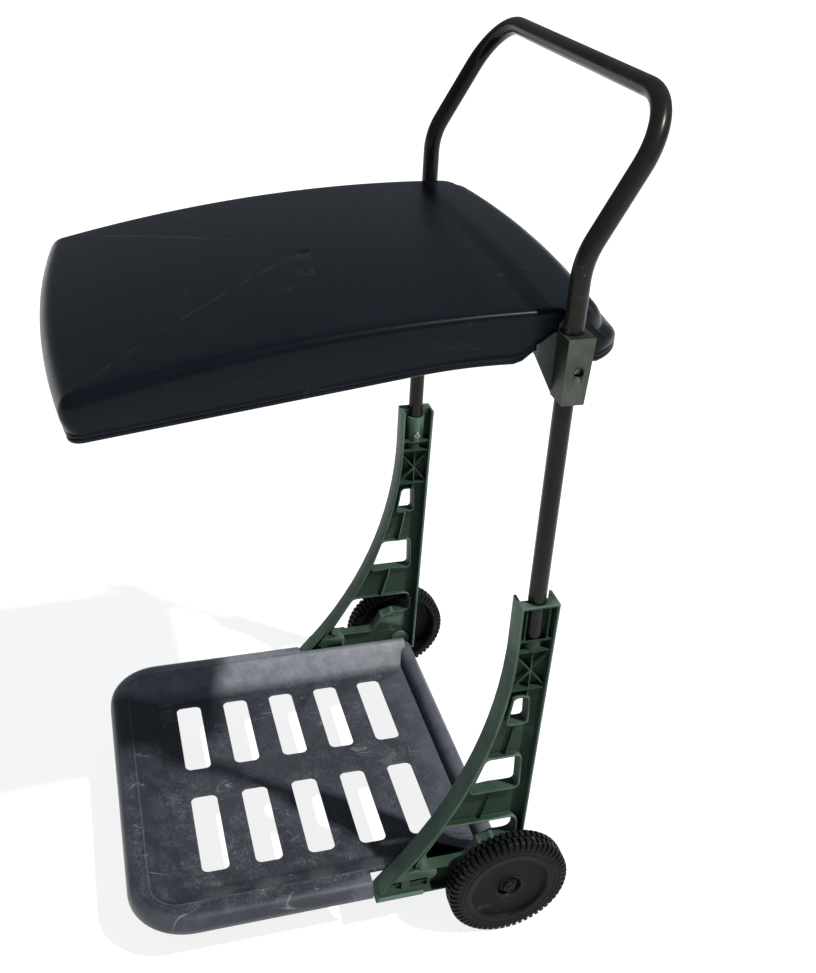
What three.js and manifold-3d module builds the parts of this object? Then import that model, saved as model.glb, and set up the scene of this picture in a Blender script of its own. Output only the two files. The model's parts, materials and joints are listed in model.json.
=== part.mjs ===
// Garden kneeler seat on wheels: a slotted kneeling tray, two moulded side frames with a
// wheel each, a bent tube handle and a crowned seat that folds up towards the handle.
// Millimetres, +Z up, +Y towards the handle and the wheels. Heights are from a datum plane
// above the ground; the last lines stand the whole cart on z = 0.
import * as THREE from "three";
import { mergeVertices } from "three/addons/utils/BufferGeometryUtils.js";
import Module from "manifold-3d";

const wasm = await Module();
wasm.setup();

// ---- Driving dimensions ----------------------------------------------------------------
const GAP = 0.3; // between pieces that touch
const RUN = 0.08; // running clearance of a bore on its pin

// Handle: one round tube, legs upright, leaning back above the bend
const TUBE_R = 10;
const TUBE_WALL = 1.5;
const TUBE_X = 235; // leg axis, either side of the middle
const LEAN_Z = 837; // where the legs bend back
const TOP_X = 230; // the legs close in slightly above the bend
const TOP_Y = 77; // crossbar axis
const TOP_Z = 975;
const LEAN_BEND_R = 80;
const CORNER_BEND_R = 66;

// Side frames: an I-section moulding, web in the middle, flanges round the outline
const FRAME_IN = TUBE_X - 15;
const FRAME_OUT = TUBE_X + 13;
const WEB_IN = TUBE_X - 2;
const WEB_OUT = TUBE_X + 1.5;
const FLANGE = 3.5;
const FRAME_BOTTOM = 29;
const FRAME_TOP = 453;
const FRAME_REAR = 23.5;
const FRAME_REAR_LOW = 17; // the rear edge leans in towards the foot
const FRAME_FRONT_TOP = -22;
const FRONT_ARC_R = 535; // hollow front edge
const FRONT_ARC_TOP = 400;
const FOOT_FRONT = -168;
const FOOT_TOP = 71;
const SOCKET_FLOOR = 404;
const SOCKET_R = 13.7;
const SOCKET_SCREW_Z = 416;
const SHELF_2 = 389;
const SHELF_3 = 335;
const LIP = 2.6; // raised rim round each window
const LIP_IN = FRAME_IN + 8; // the lips stand out from the web to these planes
const LIP_OUT = FRAME_OUT - 3;
const RAIL_OUT = FRAME_OUT + 2; // a low rail along the foot
const RAIL_TOP = 36;
const RAIL_REAR = -107;

// Wheels, on stub axles
const WHEEL_R = 77;
const WHEEL_W = 28;
const AXLE_R = 5;
const AXLE_Y = -4;
const AXLE_Z = 42;
const GROUND_Z = AXLE_Z - WHEEL_R;
const WHEEL_IN = FRAME_OUT + 2.2;
const DISH_DEPTH = 5; // outer face of the wheel's disc, below the sidewall
const HUB_DEPTH = 10; // floor of the recess round the hub cap
const DISH_R = 49;
const HUB_R = 14;
const DISC = 3.5; // thickness of the wheel's disc
const BOSS_R = 15;

// Tray: dished floor, sloping walls and a rolled rim, with a round bar along the rear edge
const SHEET = 3;
const FLOOR_Z = 30;
const RIM_Z = 52;
const TRAY_HALF = 242;
const TRAY_FRONT = -460;
const CREST_IN = 28; // from the outer edge to the inner crest of the rim
const WALL_RUN = 36;
const FRONT_WALL_RUN = 42;
const SLOT_ROWS = 5;
const SLOT_PITCH = 68;
const SLOT_W = 34.5;
const SLOT_L = 129;
const SLOT_IN = 25.5;
const SLOT_FIRST = -367;
const SLOT_R = 8;
const BAR_R = 12;
const BAR_Y = -2;
const BAR_Z = 33;
const TRAY_SIDE = FRAME_IN - 1;
const RIM_END = FOOT_FRONT - 1; // the rolled rim stops at the side frames' feet
const SPIGOT_R = 5; // the rear bar's ends plug into the frames
const SPIGOT_Z = 39;
const FOOT_X = 115; // stub feet under the front of the tray
const FOOT_Y = -392;
const TRAY_SCREW_Y = -131;
const TRAY_SCREW_Z = 38;

// Seat: a crowned shell between the legs, open below, with a separate rim ring
const SEAT_HALF = 221.4;
const SEAT_FRONT = -487; // foremost point, at the middle of the bowed front
const FRONT_BOW = 13;
const SEAT_REAR = 40; // the crease's rear corners; the rear edge bows out behind them
const REAR_BOW = 9;
const REAR_FLARE = 29; // the rear wall spreads from the crease down to the rim
const BELLY_FLARE = 16; // and bulges on the way
const BELLY_DROP = 26;
const SEAT_PEAK_Y = -19;
const SEAT_PEAK_Z = 783.5;
const SEAT_FALL = 2.8e-4; // parabola of the crown, along Y
const CROSS_CROWN = 5.3;
const SEAT_SKIN = 3;
const RIM_SLOPE = 0.135;
const RIM_REF_Z = 744.5; // bottom of the rim ring where it passes the legs
const RING_H = 5;
const RING_WIDTH = 7;
const PLUG_H = 2; // the ring's upstand inside the shell
const PLUG_DRAFT = 1.3;
const RIM_SAG = 7.9e-4; // the rim flattens out behind RIM_SAG_Y
const RIM_SAG_Y = -150;
const ARCH_START = -52; // then arches over the clamps
const ARCH_RISE = 40;
const ARCH_TOP_Z = 748.7;
const REAR_Z = 726; // behind the legs the rim comes down again
const REAR_RUN = 36;
const REAR_SLOPE = 0.17;
const SIDE_STATIONS = 18; // points along each side of the seat
const PIVOT_Y = 0;
const PIVOT_Z = 766;
const PIVOT_R = 3.5;
const PIVOT_HEAD_R = 5;
const EAR_R = 10;

// Clamps: an outer block round the leg and an inner plate that carries the seat's pivot
const CLAMP_TOP = 766;
const CLAMP_BOTTOM = 697;
const CLAMP_HALF = 14;
const CLAMP_SHIFT = 2.5; // the outer blocks sit slightly behind the legs' centres
const CLAMP_OUT = TUBE_X + 18;
const PLATE_IN = SEAT_HALF + 0.8;
const PLATE_OUT = TUBE_X - TUBE_R - GAP;
const SCREW_Y = 3;
const SCREW_Z = 731;
const SCREW_R = 2.5;
const SCREW_HEAD_R = 4.5;
const SCREW_RECESS = 6.5; // the clamp screws sit deep in the outer blocks
const REST_Y0 = -31; // rest under the rim, in front of the pivot
const REST_Y1 = -21;
const REST_Z = 743;

// ---- Solids -----------------------------------------------------------------------------
const asSolid = (geometry) => {
  const bare = geometry.index ? geometry.toNonIndexed() : geometry.clone();
  bare.deleteAttribute("normal");
  bare.deleteAttribute("uv");
  const merged = mergeVertices(bare, 1e-4);
  return new wasm.Manifold(
    new wasm.Mesh({
      numProp: 3,
      vertProperties: merged.attributes.position.array,
      triVerts: new Uint32Array(merged.index.array),
    }),
  );
};

const asGeometry = (solid) => {
  const mesh = solid.getMesh();
  const geometry = new THREE.BufferGeometry();
  geometry.setAttribute("position", new THREE.BufferAttribute(mesh.vertProperties, 3));
  geometry.setIndex(new THREE.BufferAttribute(mesh.triVerts, 1));
  geometry.computeVertexNormals();
  return geometry;
};

const join = (solids) => solids.reduce((all, next) => all.add(next));

const box = (x0, x1, y0, y1, z0, z1) =>
  asSolid(
    new THREE.BoxGeometry(x1 - x0, y1 - y0, z1 - z0).translate(
      (x0 + x1) / 2,
      (y0 + y1) / 2,
      (z0 + z1) / 2,
    ),
  );

// A round bar along X, or along Z
const rodX = (radius, x0, x1, y, z, sides = 20) =>
  asSolid(
    new THREE.CylinderGeometry(radius, radius, x1 - x0, sides)
      .rotateZ(-Math.PI / 2)
      .translate((x0 + x1) / 2, y, z),
  );

const rodZ = (radius, z0, z1, x, y, sides = 20) =>
  asSolid(
    new THREE.CylinderGeometry(radius, radius, z1 - z0, sides)
      .rotateX(Math.PI / 2)
      .translate(x, y, (z0 + z1) / 2),
  );

// A lathe profile of [radius, x] points turned about the X axis
const turned = (profile, y, z, sides) =>
  asSolid(
    new THREE.LatheGeometry(
      profile.map(([r, x]) => new THREE.Vector2(r, x)),
      sides,
    )
      .rotateZ(-Math.PI / 2)
      .translate(0, y, z),
  );

// An outline in the side view (y, z), extruded along X
const sideways = new THREE.Matrix4().makeBasis(
  new THREE.Vector3(0, 1, 0),
  new THREE.Vector3(0, 0, 1),
  new THREE.Vector3(1, 0, 0),
);
const prismX = (shape, x0, x1, curveSegments = 4) =>
  asSolid(
    new THREE.ExtrudeGeometry(shape, { depth: x1 - x0, bevelEnabled: false, curveSegments })
      .applyMatrix4(sideways)
      .translate(x0, 0, 0),
  );

// A straight rib between two points of the side view
const ribX = ([y0, z0], [y1, z1], thickness, x0, x1) => {
  const length = Math.hypot(y1 - y0, z1 - z0);
  return asSolid(
    new THREE.BoxGeometry(x1 - x0, length, thickness)
      .rotateX(Math.atan2(z1 - z0, y1 - y0))
      .translate((x0 + x1) / 2, (y0 + y1) / 2, (z0 + z1) / 2),
  );
};

// Moves every edge of a polygon (anticlockwise) outwards by d
const grown = (points, d) =>
  points.map(([y, z], i) => {
    const [py, pz] = points.at(i - 1);
    const [ny, nz] = points[(i + 1) % points.length];
    const before = new THREE.Vector2(y - py, z - pz).normalize();
    const after = new THREE.Vector2(ny - y, nz - z).normalize();
    const reach = d / (1 + before.dot(after));
    return [y + (before.y + after.y) * reach, z - (before.x + after.x) * reach];
  });

// A polygon with its corners rounded
const rounded = (points, radius) => {
  const shape = new THREE.Shape();
  points.forEach(([y, z], i) => {
    const corner = new THREE.Vector2(y, z);
    const before = new THREE.Vector2(...points.at(i - 1)).sub(corner);
    const after = new THREE.Vector2(...points[(i + 1) % points.length]).sub(corner);
    const half = before.angleTo(after) / 2;
    const run = Math.min(radius / Math.tan(half), before.length() / 2.1, after.length() / 2.1);
    const start = before.setLength(run).add(corner);
    const end = after.setLength(run).add(corner);
    if (i === 0) shape.moveTo(start.x, start.y);
    else shape.lineTo(start.x, start.y);
    shape.quadraticCurveTo(y, z, end.x, end.y);
  });
  shape.closePath();
  return shape;
};

// A closed skin through rings of equal length that run clockwise seen from above. It is capped
// across its first ring (facing down) and its last (facing up), or else ends where it starts
const lofted = (rings, capped = true) => {
  const count = rings[0].length;
  const positions = rings.flat().flatMap((p) => [p.x, p.y, p.z]);
  const faces = [];
  for (let r = 0; r + 1 < rings.length; r += 1) {
    for (let i = 0; i < count; i += 1) {
      const a = r * count + i;
      const b = r * count + ((i + 1) % count);
      faces.push(a, b + count, b, a, a + count, b + count);
    }
  }
  const cap = (ring, offset, flip) => {
    const middle = ring.reduce((sum, p) => sum.add(p), new THREE.Vector3()).divideScalar(count);
    const centre = positions.length / 3;
    positions.push(middle.x, middle.y, middle.z);
    for (let i = 0; i < count; i += 1) {
      const pair = [offset + i, offset + ((i + 1) % count)];
      faces.push(centre, ...(flip ? pair.reverse() : pair));
    }
  };
  if (capped) {
    cap(rings[0], 0, false);
    cap(rings.at(-1), (rings.length - 1) * count, true);
  }
  const geometry = new THREE.BufferGeometry();
  geometry.setAttribute("position", new THREE.Float32BufferAttribute(positions, 3));
  geometry.setIndex(faces);
  return asSolid(geometry);
};

// ---- Handle -----------------------------------------------------------------------------
// A path that steps from waypoint to waypoint, so straight runs take a single step
class Waypoints extends THREE.Curve {
  constructor(points) {
    super();
    this.points = points;
  }
  getPoint(t) {
    const place = t * (this.points.length - 1);
    const i = Math.min(Math.floor(place + 1e-6), this.points.length - 2);
    return this.points[i].clone().lerp(this.points[i + 1], place - i);
  }
  getPointAt(t) {
    return this.getPoint(t);
  }
  getTangentAt(t) {
    const reach = 0.5 / (this.points.length - 1);
    const ahead = this.getPoint(Math.min(t + reach, 1));
    return ahead.sub(this.getPoint(Math.max(t - reach, 0))).normalize();
  }
}

// Points of a bend of the given radius where a path turns at a corner
const bend = (before, corner, after, radius, steps) => {
  const back = before.clone().sub(corner).normalize();
  const on = after.clone().sub(corner).normalize();
  const half = back.angleTo(on) / 2;
  const toCentre = back.clone().add(on).setLength(radius / Math.sin(half));
  const centre = corner.clone().add(toCentre);
  const start = corner.clone().addScaledVector(back, radius / Math.tan(half)).sub(centre);
  const axis = on.clone().cross(back).normalize();
  const turn = Math.PI - 2 * half;
  return Array.from({ length: steps + 1 }, (_, i) =>
    start.clone().applyAxisAngle(axis, (turn * i) / steps).add(centre),
  );
};

const handleWaypoints = (footZ) => {
  const foot = new THREE.Vector3(TUBE_X, 0, footZ);
  const knee = new THREE.Vector3(TUBE_X, 0, LEAN_Z);
  const top = new THREE.Vector3(TOP_X, TOP_Y, TOP_Z);
  const middle = new THREE.Vector3(0, TOP_Y, TOP_Z);
  const right = [
    foot,
    ...bend(foot, knee, top, LEAN_BEND_R, 4),
    ...bend(knee, top, middle, CORNER_BEND_R, 7),
  ];
  const left = right.map((p) => new THREE.Vector3(-p.x, p.y, p.z)).reverse();
  return [...right, ...left];
};

const handleTube = () => {
  const footZ = SOCKET_FLOOR + FLANGE + GAP;
  const start = 0.1; // keeps the edges along the tube clear of the screw holes
  const along = (radius, endZ) => {
    const path = new Waypoints(handleWaypoints(endZ));
    const circle = new THREE.Shape().absarc(0, 0, radius, start, start + 2 * Math.PI);
    return asSolid(
      new THREE.ExtrudeGeometry(circle, {
        steps: path.points.length - 1,
        extrudePath: path,
        bevelEnabled: false,
        curveSegments: 7,
      }),
    );
  };
  const outside = TUBE_X + TUBE_R + 1;
  const holes = [
    rodX(SCREW_R + GAP, -outside, outside, SCREW_Y, SCREW_Z, 10),
    rodX(SCREW_R + GAP, -outside, outside, 0, SOCKET_SCREW_Z, 10),
  ];
  return along(TUBE_R, footZ)
    .subtract(along(TUBE_R - TUBE_WALL, footZ - 1))
    .subtract(join(holes));
};

// ---- Side frame -------------------------------------------------------------------------
const ARC_CENTRE = FRAME_FRONT_TOP - FRONT_ARC_R;
const frontY = (z) => {
  const below = FRONT_ARC_TOP - z;
  return below <= 0
    ? FRAME_FRONT_TOP
    : ARC_CENTRE + Math.sqrt(FRONT_ARC_R ** 2 - below ** 2);
};

// The frame's outline, moved inwards by inset; the top may stay open
const frameOutline = (inset, top) => {
  const radius = FRONT_ARC_R + inset;
  const low = FRAME_BOTTOM + inset;
  const kneeZ = 41 + inset;
  const shape = new THREE.Shape();
  shape.moveTo(FOOT_FRONT + inset, low);
  shape.lineTo(FRAME_REAR_LOW - inset, low);
  shape.lineTo(FRAME_REAR - inset, top);
  shape.lineTo(FRAME_FRONT_TOP + inset, top);
  const turn = -Math.asin((FRONT_ARC_TOP - kneeZ) / radius);
  shape.absarc(ARC_CENTRE, FRONT_ARC_TOP, radius, 0, turn, true);
  shape.closePath();
  return shape;
};

const WINDOWS = [
  { radius: 5, outline: [[-20, 285], [3, 285], [1, 323], [-15, 323]] },
  { radius: 6, outline: [[-57, 183], [3, 183], [1, 233], [-41, 233]] },
  {
    radius: 11,
    outline: [[-122, 67], [-52, 67], [-37, 93], [-20, 100], [8, 100], [6, 132], [-84, 132]],
  },
];
const TAB_WINDOWS = [[-146, -136], [-125, -103]]; // along Y
const TAB_LOW = 43;
const TAB_HIGH = 56;
const TAB_THICK = 3.5;

const socket = () => {
  const pipe = rodZ(SOCKET_R, SOCKET_FLOOR, FRAME_TOP - 10, TUBE_X, 0);
  const innerHalf = box(FRAME_IN, WEB_OUT, -SOCKET_R, SOCKET_R, SOCKET_FLOOR, FRAME_TOP);
  const plate = box(WEB_IN, FRAME_OUT, FRAME_FRONT_TOP, FRAME_REAR, FRAME_TOP - FLANGE, FRAME_TOP);
  const guides = [-1, 1].map((side) =>
    box(WEB_IN, FRAME_OUT - 3, side * 13.5 - 1, side * 13.5 + 1, SOCKET_FLOOR, FRAME_TOP),
  );
  const well = rodZ(TUBE_R + 1, SHELF_2, SOCKET_FLOOR + 1, TUBE_X, 0);
  return join([pipe.intersect(innerHalf), plate, ...guides, well]);
};

const shelves = () =>
  [SOCKET_FLOOR, SHELF_2, SHELF_3].map((z) =>
    box(
      FRAME_IN + 2,
      FRAME_OUT - 2,
      frontY(z) + 1,
      FRAME_REAR - 1,
      z,
      z + (z === SOCKET_FLOOR ? FLANGE : LIP),
    ),
  );

const crossRibs = () => {
  const inner = FRAME_IN + 4;
  const outer = FRAME_OUT - 4;
  const front = frontY(SHELF_3) + 2;
  const rear = FRAME_REAR - 2;
  return [
    ribX([front, SHELF_3], [rear, SHELF_2], 2, inner, outer),
    ribX([front, SHELF_2], [rear, SHELF_3], 2, inner, outer),
    ribX([0, SHELF_3 - 10], [0, SHELF_2], 2, inner, outer),
  ];
};

const footBlock = () => {
  const block = box(WEB_IN, FRAME_OUT, FOOT_FRONT + 4, -100, FRAME_BOTTOM, FOOT_TOP);
  const hook = rodX(9, WEB_IN, FRAME_OUT, -100, FOOT_TOP - 9, 16);
  const inside = box(FRAME_IN, WEB_OUT, -158, -98, FRAME_BOTTOM, TAB_HIGH + 12);
  return join([block, hook, inside]);
};

const sideFrame = () => {
  const through = [FRAME_IN - 1, RAIL_OUT + 1];
  const blank = prismX(frameOutline(0, FRAME_TOP), FRAME_IN, FRAME_OUT, 16);
  const innerPocket = prismX(frameOutline(FLANGE, FRAME_TOP + 1), FRAME_IN - 1, WEB_IN, 16);
  const outerPocket = prismX(frameOutline(FLANGE, FRAME_TOP + 1), WEB_OUT, FRAME_OUT + 1, 16);
  const lips = WINDOWS.map(({ outline, radius }) =>
    prismX(rounded(grown(outline, LIP), radius + LIP), LIP_IN, LIP_OUT),
  );
  const slants = [
    ribX([-9, 284], [-17, 234], 2, FRAME_IN + 6, FRAME_OUT - 6),
    ribX([-28, 182], [-40, 133], 2, FRAME_IN + 6, FRAME_OUT - 6),
  ];
  const boss = rodX(BOSS_R, WEB_IN - 4, FRAME_OUT, AXLE_Y, AXLE_Z, 24);
  const body = join([
    blank.subtract(innerPocket).subtract(outerPocket),
    ...lips,
    ...slants,
    ...shelves(),
    ...crossRibs(),
    socket(),
    footBlock(),
    boss,
    box(WEB_OUT, RAIL_OUT, FOOT_FRONT, RAIL_REAR, FRAME_BOTTOM, RAIL_TOP),
  ]).intersect(prismX(frameOutline(0, FRAME_TOP), FRAME_IN, RAIL_OUT, 16));
  const cuts = [
    ...WINDOWS.map(({ outline, radius }) => prismX(rounded(outline, radius), ...through)),
    ...TAB_WINDOWS.map(([y0, y1]) => box(...through, y0, y1, TAB_LOW, TAB_HIGH)),
    rodZ(TUBE_R + GAP, SOCKET_FLOOR + FLANGE, FRAME_TOP + 1, TUBE_X, 0, 28),
    box(TUBE_X, FRAME_OUT + 1, -TUBE_R - GAP, TUBE_R + GAP, SOCKET_FLOOR + FLANGE, FRAME_TOP - FLANGE),
    rodX(SCREW_R + GAP, FRAME_IN - 1, TUBE_X, 0, SOCKET_SCREW_Z, 10),
    rodX(AXLE_R + GAP, WEB_IN + 1, FRAME_OUT + 1, AXLE_Y, AXLE_Z, 24),
    rodX(SPIGOT_R + GAP, FRAME_IN - 1, WEB_IN, BAR_Y, SPIGOT_Z, 14),
    rodX(SCREW_R + GAP, FRAME_IN - 1, WEB_OUT, TRAY_SCREW_Y, TRAY_SCREW_Z, 10),
  ];
  return body.subtract(join(cuts));
};

// ---- Tray -------------------------------------------------------------------------------

// One ring of the tray: round front corners, square rear corners
const trayRing = (half, front, z, radius) => {
  const steps = 6;
  const rear = BAR_Y + 4;
  const points = [new THREE.Vector3(half, rear, z)];
  for (let side = 1; side >= -1; side -= 2) {
    for (let i = 0; i <= steps; i += 1) {
      const turn = ((side > 0 ? i : steps - i) / steps) * (Math.PI / 2);
      const x = half - radius + radius * Math.cos(turn);
      points.push(new THREE.Vector3(side * x, front + radius - radius * Math.sin(turn), z));
    }
  }
  points.push(new THREE.Vector3(-half, rear, z));
  return points;
};

const tray = () => {
  const crest = TRAY_HALF - CREST_IN;
  const crestFront = TRAY_FRONT + CREST_IN;
  const floorHalf = crest - WALL_RUN;
  const floorFront = crestFront + FRONT_WALL_RUN;
  const top = [
    trayRing(TRAY_HALF, TRAY_FRONT, FRAME_BOTTOM, 54),
    trayRing(TRAY_HALF - 1, TRAY_FRONT + 1, RIM_Z - 10, 53),
    trayRing(TRAY_HALF - 4, TRAY_FRONT + 4, RIM_Z - 4, 50),
    trayRing(TRAY_HALF - 10, TRAY_FRONT + 10, RIM_Z - 1, 46),
    trayRing(crest, crestFront, RIM_Z, 34),
    trayRing(floorHalf, floorFront, FLOOR_Z, 18),
  ];
  const under = [
    trayRing(floorHalf - 1, floorFront + 1, FLOOR_Z - SHEET, 18),
    trayRing(crest, crestFront, RIM_Z - SHEET, 34),
    trayRing(TRAY_HALF - 10, TRAY_FRONT + 10, RIM_Z - SHEET - 1, 46),
    trayRing(TRAY_HALF - 6, TRAY_FRONT + 6, RIM_Z - 8, 48),
    trayRing(TRAY_HALF - 3, TRAY_FRONT + 3, FRAME_BOTTOM, 51),
  ];
  const dish = lofted([...under, ...top]);
  const trims = [
    box(TRAY_SIDE, TRAY_HALF + 5, RIM_END, 50, 0, 100),
    box(-TRAY_HALF - 5, -TRAY_SIDE, RIM_END, 50, 0, 100),
    box(-TRAY_HALF, TRAY_HALF, BAR_Y, 50, 0, 100),
  ];
  const slots = [];
  for (const side of [-1, 1]) {
    for (let row = 0; row < SLOT_ROWS; row += 1) {
      const y0 = SLOT_FIRST + row * SLOT_PITCH;
      const x0 = side > 0 ? SLOT_IN : -SLOT_IN - SLOT_L;
      slots.push(slotPrism(x0, x0 + SLOT_L, y0, y0 + SLOT_W));
    }
  }
  const bar = rodX(BAR_R, -TRAY_SIDE, TRAY_SIDE, BAR_Y, BAR_Z, 20);
  const spigots = rodX(SPIGOT_R, -WEB_IN + 1, WEB_IN - 1, BAR_Y, SPIGOT_Z, 14);
  const tabs = [-1, 1].flatMap((side) =>
    TAB_WINDOWS.map(([y0, y1]) => {
      const [x0, x1] = side > 0 ? [TRAY_SIDE - 8, FRAME_OUT - 5] : [5 - FRAME_OUT, 8 - TRAY_SIDE];
      return box(x0, x1, y0 + 1, y1 - 1, TAB_LOW + 1, TAB_LOW + 1 + TAB_THICK);
    }),
  );
  const feet = [-1, 1].map((side) => trayFoot(side));
  const screwHoles = rodX(SCREW_R + GAP, -TRAY_SIDE - 1, TRAY_SIDE + 1, TRAY_SCREW_Y, TRAY_SCREW_Z, 10);
  return join([dish.subtract(join(trims)), bar, spigots, ...tabs, ...feet])
    .subtract(join(slots))
    .subtract(screwHoles);
};

const slotPrism = (x0, x1, y0, y1) =>
  asSolid(
    new THREE.ExtrudeGeometry(rounded([[x0, y0], [x1, y0], [x1, y1], [x0, y1]], SLOT_R), {
      depth: 20,
      bevelEnabled: false,
      curveSegments: 4,
    }).translate(0, 0, FLOOR_Z - 15),
  );

// A stub foot under each front corner keeps the tray level with the wheels
const trayFoot = (side) => {
  const outline = [[-18, -14], [18, -14], [18, 14], [-18, 14]];
  return asSolid(
    new THREE.ExtrudeGeometry(rounded(outline, 6), {
      depth: FLOOR_Z - 1 - GROUND_Z,
      bevelEnabled: false,
      curveSegments: 3,
    }).translate(side * FOOT_X, FOOT_Y, GROUND_Z),
  );
};

// ---- Seat -------------------------------------------------------------------------------
const crownZ = (x, y, half) =>
  SEAT_PEAK_Z - SEAT_FALL * (y - SEAT_PEAK_Y) ** 2 + CROSS_CROWN * (1 - (x / half) ** 2);

// Bottom of the rim ring along the seat's side
const rimZ = (y) => {
  if (y > REAR_RUN) return REAR_Z + REAR_SLOPE * (y - REAR_RUN);
  const fall = Math.sin((Math.PI / 2) * (Math.max(y, 0) / REAR_RUN)) ** 2;
  const along = Math.min(y, 0);
  const sag = RIM_SAG * Math.max(along - RIM_SAG_Y, 0) ** 2;
  const arch = along > ARCH_START ? Math.cos((Math.PI / 2) * (along / ARCH_START)) ** 2 : 0;
  const side = RIM_REF_Z + RIM_SLOPE * along - sag + ARCH_RISE * arch;
  return Math.min(side, ARCH_TOP_Z) - (ARCH_TOP_Z - REAR_Z) * fall;
};

// One ring of the seat: straight sides, bowed front and rear, round corners
const BOW_STEPS = [-0.75, -0.5, -0.25, 0, 0.25, 0.5, 0.75];
const seatRing = ({ half, front, rear, bow, rearBow, frontR, rearR }, heightAt) => {
  const points = [];
  const place = (x, y) => points.push(new THREE.Vector3(x, y, heightAt(x, y)));
  const arc = (cx, cy, radius, from, to, steps) => {
    for (let i = 0; i <= steps; i += 1) {
      const turn = ((from + ((to - from) * i) / steps) * Math.PI) / 180;
      place(cx + radius * Math.cos(turn), cy + radius * Math.sin(turn));
    }
  };
  const sideFront = front + frontR;
  const sideRear = rear - rearR;
  const stations = Array.from({ length: SIDE_STATIONS }, (_, i) => (i + 1) / (SIDE_STATIONS + 1));
  arc(half - rearR, rear - rearR, rearR, 90, 0, 5);
  stations.forEach((t) => place(half, sideRear + (sideFront - sideRear) * t ** 1.4));
  arc(half - frontR, front + frontR, frontR, 0, -90, 4);
  BOW_STEPS.forEach((t) => place((half - frontR) * -t, front - bow * (1 - t ** 2)));
  arc(frontR - half, front + frontR, frontR, -90, -180, 4);
  stations.toReversed().forEach((t) => place(-half, sideRear + (sideFront - sideRear) * t ** 1.4));
  arc(rearR - half, rear - rearR, rearR, 180, 90, 5);
  BOW_STEPS.forEach((t) => place((half - rearR) * t, rear + rearBow * (1 - t ** 2)));
  return points;
};
const CREASE_OUTLINE = {
  half: SEAT_HALF,
  front: SEAT_FRONT + FRONT_BOW,
  rear: SEAT_REAR,
  bow: FRONT_BOW,
  rearBow: REAR_BOW,
  frontR: 15,
  rearR: 28,
};
const RIM_OUTLINE = {
  ...CREASE_OUTLINE,
  front: SEAT_FRONT + FRONT_BOW + 6,
  rear: SEAT_REAR + REAR_FLARE,
  bow: FRONT_BOW + 2,
  rearBow: REAR_BOW - 3,
  rearR: 44,
};
const BELLY_OUTLINE = {
  ...CREASE_OUTLINE,
  front: SEAT_FRONT + FRONT_BOW + 3.4,
  rear: SEAT_REAR + BELLY_FLARE,
  bow: FRONT_BOW + 1.1,
  rearR: 36,
};
const shrunk = (outline, d, rearD = d) => ({
  ...outline,
  half: outline.half - d,
  front: outline.front + d,
  rear: outline.rear - rearD,
  frontR: Math.max(outline.frontR - d, 4),
  rearR: Math.max(outline.rearR - d, 4),
});
const scaledIn = (outline, k) => ({
  half: outline.half * k,
  front: -205 + (outline.front + 205) * k,
  rear: -205 + (outline.rear + 205) * k,
  bow: outline.bow * k,
  rearBow: outline.rearBow * k,
  frontR: outline.frontR * k,
  rearR: outline.rearR * k,
});

// A ring moved inwards by d, keeping its heights
const inset = (ring, d) =>
  grown(
    ring.map((p) => [p.x, p.y]),
    d,
  ).map(([x, y], i) => new THREE.Vector3(x, y, ring[i].z));

const seatShell = () => {
  const rim = (x, y) => rimZ(y) + RING_H + GAP;
  const skin = (drop) => (x, y) => crownZ(x, y, SEAT_HALF) - drop;
  const outside = [
    seatRing(RIM_OUTLINE, rim),
    seatRing(BELLY_OUTLINE, skin(BELLY_DROP)),
    seatRing(CREASE_OUTLINE, skin(8)),
    seatRing(shrunk(CREASE_OUTLINE, 3, 7), skin(2.5)),
    seatRing(shrunk(CREASE_OUTLINE, 9, 17), skin(0)),
    seatRing(scaledIn(CREASE_OUTLINE, 0.6), skin(0)),
    seatRing(scaledIn(CREASE_OUTLINE, 0.25), skin(0)),
  ];
  const inside = [
    seatRing(scaledIn(CREASE_OUTLINE, 0.25), skin(SEAT_SKIN)),
    seatRing(scaledIn(CREASE_OUTLINE, 0.6), skin(SEAT_SKIN)),
    seatRing(shrunk(CREASE_OUTLINE, 10, 19), skin(SEAT_SKIN)),
    seatRing(shrunk(CREASE_OUTLINE, 4), skin(10)),
    inset(seatRing(RIM_OUTLINE, rim), SEAT_SKIN),
  ];
  return lofted([...inside, ...outside]);
};

// The ring under the shell's rim, with an upstand that plugs inside the rim
const rimRing = () => {
  const at = (d, lift) => inset(seatRing(RIM_OUTLINE, (x, y) => rimZ(y) + lift), d);
  const section = [
    at(RING_WIDTH, RING_H + PLUG_H),
    at(RING_WIDTH, 0),
    at(0, 0),
    at(0, RING_H),
    at(SEAT_SKIN + 2 * GAP, RING_H),
    at(SEAT_SKIN + 2 * GAP + PLUG_DRAFT, RING_H + PLUG_H),
  ];
  return lofted([...section, section[0]], false);
};

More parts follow.
